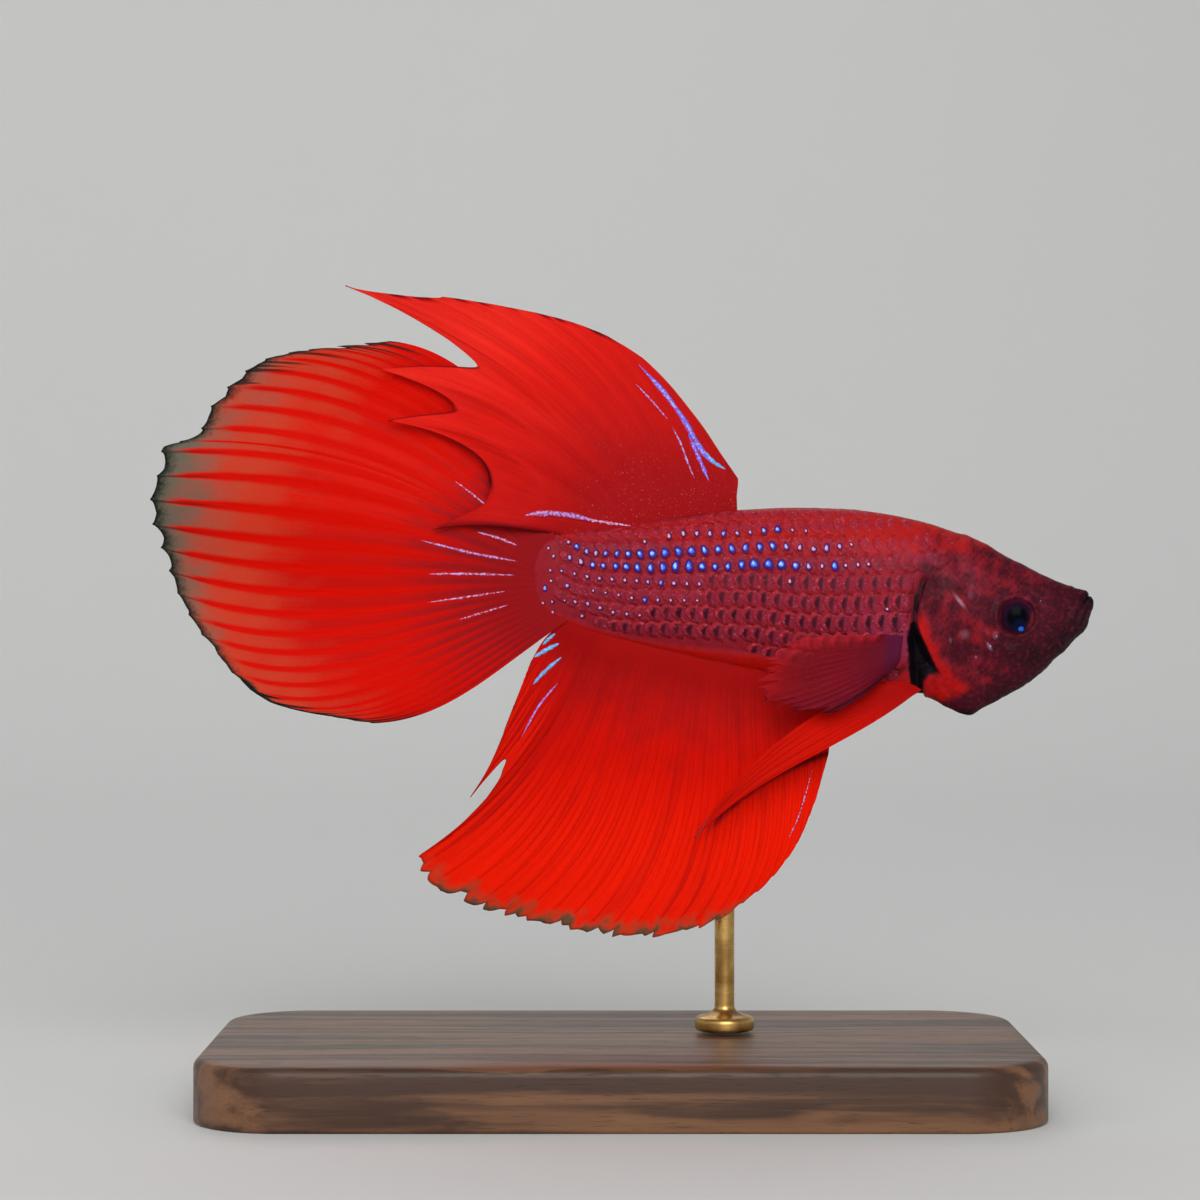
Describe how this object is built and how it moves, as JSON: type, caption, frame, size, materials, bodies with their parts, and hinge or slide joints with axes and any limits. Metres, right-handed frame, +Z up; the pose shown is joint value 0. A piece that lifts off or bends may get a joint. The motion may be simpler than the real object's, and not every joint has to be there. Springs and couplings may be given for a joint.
{
  "type": "betta fish",
  "caption": "Male betta fish with long flowing fins, life size and still, held over a flat display base by a thin rod.",
  "frame": {"origin": "middle of the display base's underside, on the surface that it stands on", "axes": "+X the way the fish faces, +Y its left side, +Z up"},
  "size_m": [0.0761, 0.036, 0.0657],
  "materials": {
    "head_skin": "dark maroon skin, nearly black at the snout and jaw, finely freckled, with a moist sheen",
    "body_skin": "red scales with dark rims and rows of small pale blue shining spots",
    "eye": "black pupil in a dark brown iris under a clear wet cornea",
    "fin": "bright red ribbed membrane; the tail's outer band is clear, grey green and edged in black",
    "walnut": "oiled satin walnut",
    "brass": "polished"
  },
  "bodies": {
    "root": {"head": "head_skin", "lower_jaw": "head_skin", "gill_cover_right": "head_skin", "gill_cover_left": "head_skin", "eye_right": "eye", "eye_left": "eye", "trunk": "body_skin", "tail_stalk": "body_skin", "dorsal_fin": "fin", "caudal_fin": "fin", "anal_fin": "fin", "pectoral_fin_right": "fin", "pectoral_fin_left": "fin", "pelvic_fin_right": "fin", "pelvic_fin_left": "fin", "stand_base": "walnut", "stand_rod": "brass"}
  },
  "joints": []
}
